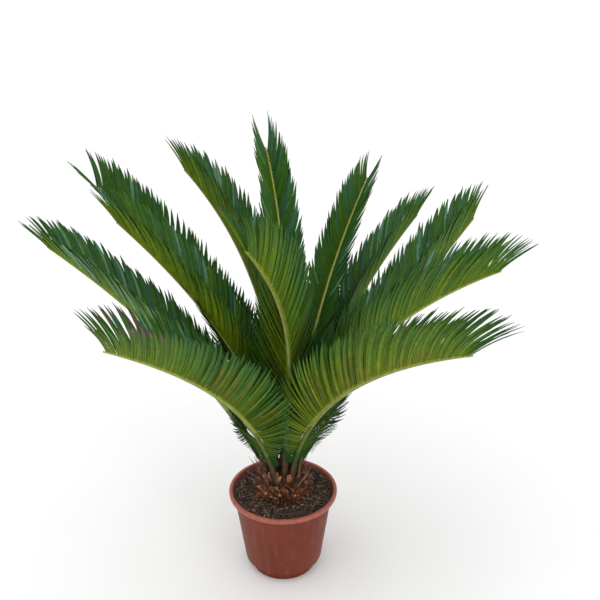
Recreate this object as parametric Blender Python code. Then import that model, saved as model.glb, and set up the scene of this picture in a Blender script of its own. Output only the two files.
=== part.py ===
# Potted sago palm: a nursery pot, its soil, the caudex and thirteen feather fronds.
# Metres, +Z up. The origin is the middle of the pot's flat underside, and -Y is the front.
from math import cos, pi, radians, sin

import bmesh
import bpy
import numpy as np
from mathutils import Vector
from mathutils.bvhtree import BVHTree

# Clear space left between two solids that touch on the real plant
GAP = 0.0003

# Pot: a thin tapering tub on an inset foot ring, with a faint band under a rolled lip
POT_HEIGHT = 0.197
POT_LIP_RADIUS = 0.120
POT_FOOT_RADIUS = 0.0827
POT_TAPER = 0.138
POT_WALL = 0.0024
POT_FLOOR = 0.0035
POT_RING_RADIUS = 0.0710
POT_RING_ROUND = 0.0018
POT_RING_HEIGHT = 0.0215
POT_STEP_HEIGHT = 0.0245
POT_STEP_ROUND = 0.0018
POT_LIP_HEIGHT = 0.011
POT_LIP_WIDTH = 0.0085
POT_LIP_ROUND = 0.003
POT_LIP_FLARE = 0.0035
POT_BAND_LOW = 0.158
POT_BAND_STEP = 0.0012
POT_SIDES = 48
DRAIN_ANGLES = (14, 166, 194, 346)
DRAIN_WIDTH = 0.012
DRAIN_DEPTH = 0.014
DRAIN_HEIGHT = 0.010
DRAIN_RADIUS = 0.0815
DRAIN_Z = 0.024

# Soil: fills the pot to a finger's width under the lip
SOIL_TOP = 0.1885
SOIL_WAVE = 0.0025
SOIL_WAVE_TURNS = (62, 71, 131, -95)
SOIL_LEVEL_RADIUS = 0.068
SOIL_FADE = 0.012
SOIL_RINGS = (0.88, 0.76)

# Caudex: the squat scaly trunk, widest a third of the way up
CAUDEX_FOOT_RADIUS = 0.053
CAUDEX_RADIUS = 0.057
CAUDEX_TOP = 0.2405
CAUDEX_SIDES = 24
CAUDEX_SHAPE = ((0.18, 0.97), (0.40, 1.0), (0.60, 0.93), (0.78, 0.80), (0.91, 0.60), (0.98, 0.34))

# Old leaf bases in rows of (height, count, length), each a flat stub that points out and up
OLD_BASE_ROWS = ((0.197, 13, 0.019), (0.208, 13, 0.020), (0.219, 12, 0.019), (0.229, 9, 0.017))
OLD_BASE_WIDTH = 0.015
OLD_BASE_THICKNESS = 0.007
OLD_BASE_SINK = 0.6
OLD_BASE_REACH = (0.55, 0.65)
OLD_BASE_POINT = (0.45, 0.5)
OLD_BASE_SCATTER = 0.17
OLD_BASE_ROW_LEAN = 0.15

# Dry spikes round the crown's edge, which lean out over the soil
SPIKE_ANGLES = (147, 173, 189, 203, 217, 259, 296, 324, 337, 351, 7, 34, 75, 121)
SPIKE_LENGTH = 0.050
SPIKE_WIDTH = 0.0055
SPIKE_HEIGHTS = (0.222, 0.216)
SPIKE_LEAN = (0.62, 0.78)
SPIKE_SINK = (0.012, 0.008)
SPIKE_POINT = 0.35

# Fronds: where each leaves the crown and how it leans, with angles in degrees.
# It starts at azimuth and at rise above the level, swings and flattens to tip as it runs out,
# by the power bend, and roll turns its blade about its rib. seat is how far from the middle of
# the crown it stands, leaf is the length of its longest leaflets, and spread is how much wider
# than on the others they stand from the rib.
FROND_FIELDS = ("azimuth", "seat", "length", "rise", "tip", "bend", "swing", "roll", "leaf",
                "spread")
FRONDS = (
    (189, 0.034, 0.684, 66, 36, 1.06, -15, 6, 0.119, 2),
    (238, 0.034, 0.622, 78, 30, 0.62, -22, 6, 0.132, 18),
    (283, 0.020, 0.741, 97, 46, 0.43, -43, -3, 0.148, 0),
    (308, 0.034, 0.659, 90, 24, 0.51, 10, 8, 0.158, 4),
    (347, 0.034, 0.660, 82, 19, 0.99, 18, 8, 0.144, 8),
    (22, 0.034, 0.665, 56, 50, 1.14, -5, 6, 0.130, 8),
    (48, 0.034, 0.640, 85, 37, 0.43, -9, 16, 0.121, -3),
    (62, 0.020, 0.665, 71, 52, 0.92, -14, -20, 0.102, 7),
    (93, 0.034, 0.690, 72, 32, 0.80, 0, 0, 0.125, 0),
    (113, 0.008, 0.713, 98, 60, 2.04, 5, 17, 0.110, 2),
    (133, 0.025, 0.702, 100, 44, 1.00, 27, -13, 0.122, 1),
    (161, 0.034, 0.737, 96, 39, 0.49, -2, 21, 0.121, 14),
    (184, 0.021, 0.659, 98, 44, 0.52, -6, 6, 0.130, 1),
)
SWING_POWER = 1.5
CROWN_Z = 0.243
CROWN_SLOPE = 0.35
CROWN_RADIUS = 0.034

# Rib: its width and height at the crown and at the tip
RIB_WIDTH = (0.0118, 0.0034)
RIB_HEIGHT = (0.0102, 0.0030)
RIB_TAPER_POWER = 0.8
STUB_LENGTH = 0.020
STUB_SPREAD = 1.15

# Leaflets: pairs along the rib, from short spines at the foot to full length and back
PAIRS = 26
FIRST_PAIR = 0.08
LAST_PAIR = 0.985
LEAF_SHARE = 0.52
WIDTH_SHARE = 0.68
LEAF_SLIM = 0.002
LEAF_SLENDER = 0.12
FULL_AFTER = 0.26
FOOT_LENGTH = 0.16
TIP_SHORTENING = 0.30
TIP_POWER = 6
FORWARD = (78, 39)
FORWARD_POWER = 0.3
SPREAD_AFTER = 0.3
LIFT = (2, 58)
LIFT_AFTER = 0.25
CURL = -24
DROOP = 6
LEAF_KNEE = 0.45
LEAF_THICKNESS = 0.0019
LEAF_TEST_MARGIN = 0.0008
RIB_TEST_SPREAD = 1.12
LEAF_TRIALS = ((0, 1.0), (9, 1.0), (-9, 1.0), (18, 1.0), (-18, 1.0), (0, 0.75), (14, 0.75),
               (-14, 0.75), (27, 0.8), (-27, 0.8), (0, 0.5), (22, 0.5), (-22, 0.5))


def clear_scene():
    for thing in list(bpy.data.objects):
        bpy.data.objects.remove(thing, do_unlink=True)


def material(name, colour, roughness):
    made = bpy.data.materials.new(name)
    made.use_nodes = True
    shader = made.node_tree.nodes["Principled BSDF"]
    shader.inputs["Base Color"].default_value = (*colour, 1.0)
    shader.inputs["Roughness"].default_value = roughness
    shader.inputs["Metallic"].default_value = 0.0
    made.diffuse_color = (*colour, 1.0)
    return made


def pot_material():
    return material("pot plastic", (0.32, 0.085, 0.045), 0.5)


def soil_material():
    return material("potting soil", (0.035, 0.022, 0.016), 0.95)


def caudex_material():
    return material("caudex bark", (0.16, 0.07, 0.03), 0.9)


def frond_material():
    return material("frond green", (0.035, 0.12, 0.02), 0.4)


def mesh_object(name, points, faces, finish, smooth_angle=None):
    """One object from points and faces, with its faces turned outwards."""
    mesh = bpy.data.meshes.new(name)
    mesh.from_pydata([tuple(p) for p in points], [], faces)
    work = bmesh.new()
    work.from_mesh(mesh)
    bmesh.ops.recalc_face_normals(work, faces=work.faces)
    work.to_mesh(mesh)
    work.free()
    mesh.materials.append(finish)
    made = bpy.data.objects.new(name, mesh)
    bpy.context.scene.collection.objects.link(made)
    if smooth_angle:
        mesh.shade_smooth()
        mesh.set_sharp_from_angle(angle=radians(smooth_angle))
    return made


def turned(profile, sides, lift=None):
    """Points and faces of a profile of (radius, z) turned about Z, with a pole at each end.

    lift(x, y, z) moves a point up or down after it is turned."""
    points = []
    rings = []
    for radius, z in profile:
        if radius == 0:
            rings.append([len(points)])
            points.append(Vector((0, 0, z)))
            continue
        ring = []
        for k in range(sides):
            a = 2 * pi * k / sides
            ring.append(len(points))
            points.append(Vector((radius * cos(a), radius * sin(a), z)))
        rings.append(ring)
    if lift:
        for p in points:
            p.z = lift(p.x, p.y, p.z)
    faces = []
    for low, high in zip(rings, rings[1:]):
        for k in range(sides):
            n = (k + 1) % sides
            if len(low) == 1:
                faces.append((low[0], high[n], high[k]))
            elif len(high) == 1:
                faces.append((low[k], low[n], high[0]))
            else:
                faces.append((low[k], low[n], high[n], high[k]))
    return points, faces


def pot_radius(z):
    """Outside radius of the pot's tapering body at height z."""
    return POT_FOOT_RADIUS + POT_TAPER * z


def pot_inside(z):
    """Inside radius of the pot at height z: its wall, then the flare into the lip."""
    lip_low = POT_HEIGHT - POT_LIP_HEIGHT
    flare = (z - lip_low) / POT_LIP_FLARE
    if flare <= 0:
        return pot_radius(z) - POT_WALL
    start = pot_radius(lip_low) - POT_WALL
    return start + min(flare, 1) * (POT_LIP_RADIUS - POT_LIP_WIDTH - start)


def foot_hollow(clear):
    """Inside corners of the pot's foot from its floor up to the wall, moved in by clear."""
    ring = POT_RING_RADIUS - POT_WALL
    ledge = POT_RING_HEIGHT + POT_WALL
    wall_z = POT_STEP_HEIGHT + POT_STEP_ROUND + POT_WALL
    return [(ring - clear, POT_FLOOR + clear), (ring - clear, ledge + clear),
            (pot_inside(wall_z) - clear, wall_z + clear)]


def make_pot():
    """The tub: one profile turned about Z, with four drain slots cut in the step of its foot."""
    lip_low = POT_HEIGHT - POT_LIP_HEIGHT
    lip_in = POT_LIP_RADIUS - POT_LIP_WIDTH
    band_top = pot_radius(lip_low) + POT_BAND_STEP
    step_top = POT_STEP_HEIGHT + POT_STEP_ROUND
    profile = [
        (0, 0),
        (POT_RING_RADIUS - POT_RING_ROUND, 0),
        (POT_RING_RADIUS, POT_RING_ROUND),
        (POT_RING_RADIUS, POT_RING_HEIGHT),
        (pot_radius(step_top) - POT_STEP_ROUND, POT_STEP_HEIGHT),
        (pot_radius(step_top), step_top),
        (pot_radius(POT_BAND_LOW), POT_BAND_LOW),
        (pot_radius(POT_BAND_LOW) + POT_BAND_STEP, POT_BAND_LOW + POT_BAND_STEP),
        (band_top, lip_low),
        (POT_LIP_RADIUS - POT_LIP_ROUND, lip_low),
        (POT_LIP_RADIUS, lip_low + POT_LIP_ROUND),
        (POT_LIP_RADIUS, POT_HEIGHT - POT_LIP_ROUND),
        (POT_LIP_RADIUS - POT_LIP_ROUND, POT_HEIGHT),
        (lip_in + POT_LIP_ROUND, POT_HEIGHT),
        (lip_in, POT_HEIGHT - POT_LIP_ROUND),
        (lip_in, lip_low + POT_LIP_FLARE),
        (pot_inside(lip_low), lip_low),
    ]
    profile += reversed(foot_hollow(0))
    profile.append((0, POT_FLOOR))
    points, faces = turned(profile, POT_SIDES)
    pot = mesh_object("pot", points, faces, pot_material(), smooth_angle=35)
    for number, angle in enumerate(DRAIN_ANGLES):
        cut_drain(pot, number, radians(angle))
    return pot


def cut_drain(pot, number, angle):
    """A slot through the step above the foot ring, which also notches the wall's lower edge."""
    bpy.ops.mesh.primitive_cube_add(size=1)
    box = bpy.context.object
    box.name = "drain cutter %d" % number
    box.scale = (DRAIN_DEPTH, DRAIN_WIDTH, DRAIN_HEIGHT)
    box.rotation_euler = (0, 0, angle)
    box.location = (DRAIN_RADIUS * cos(angle), DRAIN_RADIUS * sin(angle), DRAIN_Z)
    box.hide_render = True
    box.display_type = "WIRE"
    cut = pot.modifiers.new("drain %d" % number, "BOOLEAN")
    cut.operation = "DIFFERENCE"
    cut.solver = "EXACT"
    cut.object = box


def soil_edge():
    """Radius of the soil's top, which keeps clear of the slope of the pot's flare."""
    return pot_inside(SOIL_TOP) - 2 * GAP


def soil_height(x, y, z):
    """The soil's gentle waves, which fade out under the caudex and at the wall."""
    if z < SOIL_TOP:
        return z
    r = (x * x + y * y) ** 0.5
    inner = (r - SOIL_LEVEL_RADIUS) / SOIL_FADE
    outer = (soil_edge() - r) / SOIL_FADE
    share = min(max(min(inner, outer), 0), 1)
    long_x, long_y, short_x, short_y = SOIL_WAVE_TURNS
    wave = (2 * sin(long_x * x) * cos(long_y * y) + sin(short_x * x + short_y * y)) / 3
    return z + SOIL_WAVE * share * wave


def make_soil():
    """The root ball's soil: fills the pot, clear of its wall and floor."""
    edge = soil_edge()
    lip_low = POT_HEIGHT - POT_LIP_HEIGHT
    profile = [(0, POT_FLOOR + GAP)] + foot_hollow(GAP)
    profile += [(pot_inside(lip_low) - 2 * GAP, lip_low), (edge, SOIL_TOP)]
    for share in SOIL_RINGS:
        profile.append((edge * share, SOIL_TOP))
    profile += [(SOIL_LEVEL_RADIUS, SOIL_TOP), (0, SOIL_TOP)]
    points, faces = turned(profile, POT_SIDES, soil_height)
    return mesh_object("soil", points, faces, soil_material(), smooth_angle=50)


def frond_spec(row):
    return dict(zip(FROND_FIELDS, row))


def frond_curve(spec, count=161):
    """Points, tangents, side directions and upper directions along a frond's rib.

    The tangent climbs at elevation(s) and heads along azimuth(s); the rib is its running sum."""
    s = np.linspace(0, 1, count)
    elevation = np.radians(spec["rise"] + (spec["tip"] - spec["rise"]) * s ** spec["bend"])
    azimuth = np.radians(spec["azimuth"] + spec["swing"] * s ** SWING_POWER)
    level = np.cos(elevation)
    tangent = np.stack([level * np.cos(azimuth), level * np.sin(azimuth), np.sin(elevation)], 1)
    side = np.stack([-np.sin(azimuth), np.cos(azimuth), 0 * s], 1)
    upper = np.cross(tangent, side)
    roll = radians(spec["roll"])
    side, upper = side * cos(roll) - upper * sin(roll), upper * cos(roll) + side * sin(roll)
    seat = spec["seat"]
    start = azimuth[0]
    foot = np.array([seat * cos(start), seat * sin(start),
                     CROWN_Z + CROWN_SLOPE * (CROWN_RADIUS - seat)])
    middles = (tangent[1:] + tangent[:-1]) / 2 * spec["length"] / (count - 1)
    place = foot + np.vstack([np.zeros(3), np.cumsum(middles, axis=0)])
    return s, place, tangent, side, upper


def frame_at(curve, s):
    """Place and unit directions of a frond's rib at the share s of its length."""
    values = [np.array([np.interp(s, curve[0], part[:, k]) for k in range(3)]) for part in curve[1:]]
    place, tangent, side, upper = values
    return (place, tangent / np.linalg.norm(tangent), side / np.linalg.norm(side),
            upper / np.linalg.norm(upper))


def ease(x):
    x = min(max(x, 0), 1)
    return x * x * (3 - 2 * x)


def leaf_size(s):
    """Share of the full leaflet length at s: spines at the foot, shorter again at the tip."""
    t = min(max((s - FIRST_PAIR) / (1 - FIRST_PAIR), 0), 1)
    growth = FOOT_LENGTH + (1 - FOOT_LENGTH) * ease((s - FIRST_PAIR) / FULL_AFTER)
    return growth * (1 - TIP_SHORTENING * t ** TIP_POWER)


def forward_angle(spec, s, u):
    """Angle between the rib at s and a leaflet at the share u of its own length."""
    t = min(max((s - FIRST_PAIR) / (1 - FIRST_PAIR), 0), 1)
    angle = FORWARD[0] + (FORWARD[1] - FORWARD[0]) * t ** FORWARD_POWER + CURL * u
    return radians(angle + spec["spread"] * ease(t / SPREAD_AFTER))


def leaf_width(spec, s):
    """Width of a leaflet at its knee: a share of the room to the next one, and slim if short."""
    pitch = (LAST_PAIR - FIRST_PAIR) / PAIRS * spec["length"]
    room = WIDTH_SHARE * pitch * sin(forward_angle(spec, s, LEAF_KNEE))
    return min(room, LEAF_SLIM + LEAF_SLENDER * spec["leaf"] * leaf_size(s))


def leaf_direction(spec, frame, s, side_sign, u, turn):
    """Unit direction of a leaflet at the share u of its own length.

    It leans forward from the rib and is lifted above the frond's plane."""
    _, tangent, side, upper = frame
    forward = forward_angle(spec, s, u)
    rise = LIFT[0] + (LIFT[1] - LIFT[0]) * ease((s - FIRST_PAIR) / LIFT_AFTER)
    lift = radians(rise - DROOP * u + turn)
    outward = side_sign * cos(lift) * side + sin(lift) * upper
    return cos(forward) * tangent + sin(forward) * outward


def leaf_blade(spec, curve, s, side_sign, turn, size, margin):
    """The knee's four points and the tip of one leaflet blade that stands on the rib at s."""
    frame = frame_at(curve, s)
    width = leaf_width(spec, s)
    place, tangent = frame[0], frame[1]
    length = spec["leaf"] * leaf_size(s) * size + margin
    steps = 6
    knee_steps = round(LEAF_KNEE * steps)
    point = place.copy()
    for step in range(steps):
        direction = leaf_direction(spec, frame, s, side_sign, (step + 0.5) / steps, turn)
        point = point + direction * length / steps
        if step + 1 == knee_steps:
            knee = point.copy()
            along = direction
    wide = tangent - np.dot(tangent, along) * along
    wide = wide / np.linalg.norm(wide)
    thick = side_sign * np.cross(wide, along)
    half_wide = wide * (width / 2 + margin)
    half_thick = thick * (LEAF_THICKNESS / 2 + margin)
    ring = [knee - half_wide + half_thick, knee - half_wide - half_thick,
            knee + half_wide - half_thick, knee + half_wide + half_thick]
    return ring, point


def rib_ring(spec, curve, s):
    """Four corners of the rib's section at s: upper and lower on one side, then on the other."""
    place, _, side, upper = frame_at(curve, s)
    t = s ** RIB_TAPER_POWER
    half_width = side * (RIB_WIDTH[0] + (RIB_WIDTH[1] - RIB_WIDTH[0]) * t) / 2
    half_height = upper * (RIB_HEIGHT[0] + (RIB_HEIGHT[1] - RIB_HEIGHT[0]) * t) / 2
    return [place + half_width + half_height, place + half_width - half_height,
            place - half_width - half_height, place - half_width + half_height]


def rib_stations():
    """Shares along the rib, and which stretches between them carry a pair of leaflets."""
    pitch = (LAST_PAIR - FIRST_PAIR) / PAIRS
    shares = [0.0, FIRST_PAIR / 2]
    carries = [False]
    for pair in range(PAIRS):
        low = FIRST_PAIR + pitch * pair
        shares += [low, low + pitch * LEAF_SHARE]
        carries += [False, True]
    shares.append(1.0)
    carries.append(False)
    return shares, carries


BOX_FACES = [(0, 1, 2, 3), (4, 7, 6, 5), (0, 4, 5, 1), (1, 5, 6, 2), (2, 6, 7, 3), (3, 7, 4, 0)]


def leaf_root(spec, curve, low, high, side_sign):
    """The four corners of the rib's side face between the shares low and high."""
    a = rib_ring(spec, curve, low)
    b = rib_ring(spec, curve, high)
    return [a[0], a[1], b[1], b[0]] if side_sign > 0 else [a[3], a[2], b[2], b[3]]


def blade_test(spec, curve, low, high, side_sign, turn, size):
    """A slightly fat copy of a leaflet, from its root on the rib to past its tip."""
    s = (low + high) / 2
    ring, tip = leaf_blade(spec, curve, s, side_sign, turn, size, LEAF_TEST_MARGIN)
    root = leaf_root(spec, curve, low, high, side_sign)
    middle = sum(root) / 4
    root = [middle + (corner - middle) * RIB_TEST_SPREAD for corner in root]
    points = [Vector(p) for p in root + ring + [tip]]
    faces = BOX_FACES[:1] + BOX_FACES[2:]
    faces += [(4, 5, 8), (5, 6, 8), (6, 7, 8), (7, 4, 8)]
    return points, faces


class Taken:
    """The space that ribs and leaflets already fill, as search trees of their faces."""

    def __init__(self):
        self.ribs = []
        self.points = []
        self.faces = []
        self.leaves = None

    def add_rib(self, points, faces):
        self.ribs.append(BVHTree.FromPolygons(points, faces))

    def add_leaf(self, points, faces):
        start = len(self.points)
        self.points += points
        self.faces += [tuple(start + k for k in face) for face in faces]
        self.leaves = BVHTree.FromPolygons(self.points, self.faces)

    def meets(self, owner, points, faces):
        """Whether a leaflet of the frond owner crosses a leaflet or another frond's rib."""
        shape = BVHTree.FromPolygons(points, faces)
        if self.leaves and self.leaves.overlap(shape):
            return True
        others = [tree for number, tree in enumerate(self.ribs) if number != owner]
        return any(tree.overlap(shape) for tree in others)


def fill_ribs(taken, specs, curves):
    """Marks every rib as filled space before any leaflet is placed."""
    shares, _ = rib_stations()
    for spec, curve in zip(specs, curves):
        points = []
        faces = []
        for k, s in enumerate(shares):
            place = frame_at(curve, s)[0]
            ring = rib_ring(spec, curve, s)
            points += [Vector(place + (corner - place) * RIB_TEST_SPREAD) for corner in ring]
            if k:
                a = 4 * (k - 1)
                for side in range(4):
                    n = (side + 1) % 4
                    faces.append((a + side, a + n, a + 4 + n, a + 4 + side))
        taken.add_rib(points, faces)


def choose_leaves(taken, specs, curves):
    """For each frond, stretch and side: the turn and size at which its leaflet is clear."""
    shares, carries = rib_stations()
    chosen = [dict() for _ in specs]
    for k, carry in enumerate(carries):
        if not carry:
            continue
        for number, (spec, curve) in enumerate(zip(specs, curves)):
            for side_sign in (1, -1):
                for turn, size in LEAF_TRIALS:
                    shape = blade_test(spec, curve, shares[k], shares[k + 1], side_sign, turn, size)
                    if not taken.meets(number, *shape):
                        taken.add_leaf(*shape)
                        chosen[number][k, side_sign] = (turn, size)
                        break
    return chosen


def make_frond(number, spec, curve, chosen):
    """One frond: a four-sided rib whose side faces grow into its leaflets."""
    shares, carries = rib_stations()
    points = []
    for s in shares:
        points += rib_ring(spec, curve, s)
    faces = [(0, 1, 2, 3)]
    for k in range(len(carries)):
        a = 4 * k
        b = a + 4
        faces.append((a + 3, a, b, b + 3))
        faces.append((a + 1, a + 2, b + 2, b + 1))
        roots = {1: (a, a + 1, b + 1, b), -1: (a + 3, a + 2, b + 2, b + 3)}
        for side_sign, root in roots.items():
            if (k, side_sign) not in chosen:
                faces.append(root)
                continue
            turn, size = chosen[k, side_sign]
            s = (shares[k] + shares[k + 1]) / 2
            ring, tip = leaf_blade(spec, curve, s, side_sign, turn, size, 0)
            start = len(points)
            points += ring + [tip]
            for corner in range(4):
                n = (corner + 1) % 4
                faces.append((root[corner], root[n], start + n, start + corner))
                faces.append((start + corner, start + n, start + 4))
    last = 4 * (len(shares) - 1)
    faces.append((last, last + 1, last + 2, last + 3))
    return mesh_object("frond_%02d" % number, points, faces, frond_material())


def four_corners(middle, across, deep):
    return [middle + across + deep, middle + across - deep,
            middle - across - deep, middle - across + deep]


def prism(low, high):
    """Points and faces of the closed shape between two rings of four corners."""
    return [Vector(p) for p in low + high], list(BOX_FACES)


def wedge(place, outward, up, length):
    """An old leaf base: a flat stub that narrows to a blunt edge."""
    across = outward.cross(up).normalized() * OLD_BASE_WIDTH / 2
    deep = up.cross(across).normalized() * OLD_BASE_THICKNESS / 2
    foot = place - outward * length * OLD_BASE_SINK
    top = place + outward * length * OLD_BASE_REACH[0] + up * length * OLD_BASE_REACH[1]
    low = four_corners(foot, across, deep)
    high = four_corners(top, across * OLD_BASE_POINT[0], deep * OLD_BASE_POINT[1])
    return prism(low, high)


def caudex_profile():
    """Radius at each height of the squat trunk, from its flat foot to its domed top."""
    foot_z = SOIL_TOP + GAP
    height = CAUDEX_TOP - foot_z
    profile = [(0, foot_z), (CAUDEX_FOOT_RADIUS, foot_z)]
    profile += [(wide * CAUDEX_RADIUS, foot_z + share * height) for share, wide in CAUDEX_SHAPE]
    return profile + [(0, CAUDEX_TOP)]


def caudex_radius(z):
    profile = caudex_profile()[1:]
    return float(np.interp(z, [p[1] for p in profile], [p[0] for p in profile]))


def caudex_stubs(specs, curves):
    """The cut socket under each frond: a stub along the rib's own line, GAP short of it."""
    shapes = []
    for spec, curve in zip(specs, curves):
        ring = rib_ring(spec, curve, 0)
        place, tangent, _, _ = frame_at(curve, 0)
        high = [place + (corner - place) * STUB_SPREAD - tangent * GAP for corner in ring]
        low = [corner - tangent * STUB_LENGTH for corner in high]
        shapes.append(prism(low, high))
    return shapes


def caudex_old_bases():
    """Rows of old leaf bases round the trunk, each row turned by half a step."""
    shapes = []
    for row, (z, count, length) in enumerate(OLD_BASE_ROWS):
        for k in range(count):
            a = 2 * pi * (k + 0.5 * (row % 2)) / count + OLD_BASE_SCATTER * sin(5 * k + row)
            outward = Vector((cos(a), sin(a), 0))
            up = (Vector((0, 0, 1)) - outward * OLD_BASE_ROW_LEAN * row).normalized()
            place = outward * caudex_radius(z) + Vector((0, 0, z))
            shapes.append(wedge(place, outward, up, length))
    return shapes


def caudex_spikes():
    """Dry spikes that stand up and out round the crown's edge."""
    shapes = []
    for k, angle in enumerate(SPIKE_ANGLES):
        a = radians(angle)
        z = SPIKE_HEIGHTS[k % 2]
        outward = Vector((cos(a), sin(a), 0))
        length = SPIKE_LENGTH * (1 - (k % 3) / 8)
        line = (outward * SPIKE_LEAN[0] + Vector((0, 0, SPIKE_LEAN[1]))).normalized()
        place = outward * (caudex_radius(z) - SPIKE_SINK[0]) + Vector((0, 0, z - SPIKE_SINK[1]))
        across = outward.cross(line).normalized() * SPIKE_WIDTH / 2
        deep = line.cross(across).normalized() * SPIKE_WIDTH / 2
        low = four_corners(place, across, deep)
        high = four_corners(place + line * length, across * SPIKE_POINT, deep * SPIKE_POINT)
        shapes.append(prism(low, high))
    return shapes


def make_caudex(specs, curves):
    """The trunk: a turned body joined to its sockets, old leaf bases and dry spikes."""
    points, faces = turned(caudex_profile(), CAUDEX_SIDES)
    finish = caudex_material()
    caudex = mesh_object("caudex", points, faces, finish)
    extras = bpy.data.collections.new("caudex extras")
    bpy.context.scene.collection.children.link(extras)
    shapes = caudex_stubs(specs, curves) + caudex_old_bases() + caudex_spikes()
    for number, (extra_points, extra_faces) in enumerate(shapes):
        extra = mesh_object("caudex extra %d" % number, extra_points, extra_faces, finish)
        bpy.context.scene.collection.objects.unlink(extra)
        extras.objects.link(extra)
    join = caudex.modifiers.new("join", "BOOLEAN")
    join.operation = "UNION"
    join.solver = "EXACT"
    join.operand_type = "COLLECTION"
    join.collection = extras
    evaluated = caudex.evaluated_get(bpy.context.evaluated_depsgraph_get())
    joined = bpy.data.meshes.new_from_object(evaluated)
    caudex.modifiers.clear()
    caudex.data = joined
    for extra in list(extras.objects):
        bpy.data.objects.remove(extra, do_unlink=True)
    bpy.data.collections.remove(extras)
    return caudex


clear_scene()
make_pot()
make_soil()
specs = [frond_spec(row) for row in FRONDS]
curves = [frond_curve(spec) for spec in specs]
make_caudex(specs, curves)
taken = Taken()
fill_ribs(taken, specs, curves)
chosen_leaves = choose_leaves(taken, specs, curves)
for frond_number, (spec, curve, chosen) in enumerate(zip(specs, curves, chosen_leaves), 1):
    make_frond(frond_number, spec, curve, chosen)
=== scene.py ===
from math import radians

import bpy
import numpy as np
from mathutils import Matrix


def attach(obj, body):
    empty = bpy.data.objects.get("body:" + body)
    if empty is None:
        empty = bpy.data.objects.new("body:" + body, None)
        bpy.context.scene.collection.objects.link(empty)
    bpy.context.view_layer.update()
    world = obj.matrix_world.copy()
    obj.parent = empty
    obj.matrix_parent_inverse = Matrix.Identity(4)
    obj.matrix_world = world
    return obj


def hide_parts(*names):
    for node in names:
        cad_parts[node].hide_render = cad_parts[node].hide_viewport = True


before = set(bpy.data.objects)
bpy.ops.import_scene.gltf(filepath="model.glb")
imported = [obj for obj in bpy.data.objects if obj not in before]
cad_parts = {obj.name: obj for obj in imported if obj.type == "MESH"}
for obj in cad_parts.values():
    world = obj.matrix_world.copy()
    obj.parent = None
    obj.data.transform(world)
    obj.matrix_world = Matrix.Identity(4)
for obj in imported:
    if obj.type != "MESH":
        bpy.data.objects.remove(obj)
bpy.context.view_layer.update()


# Studio: a wide pale floor, an even white surround, broad soft light from overhead and a little
# from the front right. The camera stands in front of the pot and looks down on it.

def grid_quads(rows, columns, closed):
    """Corner numbers of the quads of a grid of points that is stored row by row.

    Each quad joins two neighbours of one row to the same two of the next; closed also joins
    the last column to the first."""
    row, column = np.meshgrid(np.arange(rows - 1), np.arange(columns if closed else columns - 1),
                              indexing="ij")
    after = (column + 1) % columns
    quads = np.stack([row * columns + column, row * columns + after,
                      (row + 1) * columns + after, (row + 1) * columns + column], -1)
    return quads.reshape(-1, 4)


def mesh_piece(name, points, face_sets, finishes, finish_of=None, crease=None):
    """A smooth-shaded object at the origin, from an array of points and arrays of faces.

    A face set has one row of corner numbers for each face; the sets are laid end to end.
    finish_of gives every face the number of its finish, and crease is the angle in degrees
    past which an edge stays sharp."""
    mesh = bpy.data.meshes.new(name)
    corners = np.concatenate([faces.ravel() for faces in face_sets]).astype(np.int32)
    sides = np.concatenate([np.full(len(faces), faces.shape[1]) for faces in face_sets])
    mesh.vertices.add(len(points))
    mesh.vertices.foreach_set("co", np.asarray(points, dtype=np.float32).ravel())
    mesh.loops.add(len(corners))
    mesh.loops.foreach_set("vertex_index", corners)
    mesh.polygons.add(len(sides))
    mesh.polygons.foreach_set("loop_start", (np.cumsum(sides) - sides).astype(np.int32))
    mesh.update(calc_edges=True)
    for finish in finishes:
        mesh.materials.append(finish)
    if finish_of is not None:
        mesh.polygons.foreach_set("material_index", np.asarray(finish_of, dtype=np.int32))
    mesh.polygons.foreach_set("use_smooth", np.ones(len(sides), dtype=bool))
    if crease:
        mesh.set_sharp_from_angle(angle=radians(crease))
    made = bpy.data.objects.new(name, mesh)
    bpy.context.scene.collection.objects.link(made)
    return made


def mottled(name, colours, roughness, size, bump=0.0, spread=(0.35, 0.65)):
    """A finish of two colours that run into each other in patches of the given size in metres.

    The patches are noise on Object coordinates, read through a ramp between the two spreads,
    and the same noise raises the surface by bump metres."""
    made = bpy.data.materials.new(name)
    made.use_nodes = True
    nodes = made.node_tree.nodes
    links = made.node_tree.links
    shader = nodes["Principled BSDF"]
    shader.inputs["Roughness"].default_value = roughness
    place = nodes.new("ShaderNodeTexCoord")
    noise = nodes.new("ShaderNodeTexNoise")
    noise.inputs["Scale"].default_value = 1 / size
    noise.inputs["Detail"].default_value = 5
    noise.inputs["Roughness"].default_value = 0.6
    ramp = nodes.new("ShaderNodeValToRGB")
    ramp.color_ramp.elements[0].position = spread[0]
    ramp.color_ramp.elements[0].color = (*colours[0], 1)
    ramp.color_ramp.elements[1].position = spread[1]
    ramp.color_ramp.elements[1].color = (*colours[1], 1)
    links.new(place.outputs["Object"], noise.inputs["Vector"])
    links.new(noise.outputs["Fac"], ramp.inputs["Fac"])
    links.new(ramp.outputs["Color"], shader.inputs["Base Color"])
    if bump:
        raised = nodes.new("ShaderNodeBump")
        raised.inputs["Distance"].default_value = bump
        links.new(noise.outputs["Fac"], raised.inputs["Height"])
        links.new(raised.outputs["Normal"], shader.inputs["Normal"])
    return made


floor_finish = mottled("floor paint", ((0.90, 0.90, 0.90), (0.92, 0.92, 0.92)), 0.9, 0.8)
floor_corners = np.array([(-60, -20, 0), (60, -20, 0), (60, 90, 0), (-60, 90, 0)], dtype=float)
floor = mesh_piece("floor", floor_corners, [np.array([(0, 1, 2, 3)])], [floor_finish])

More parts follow.
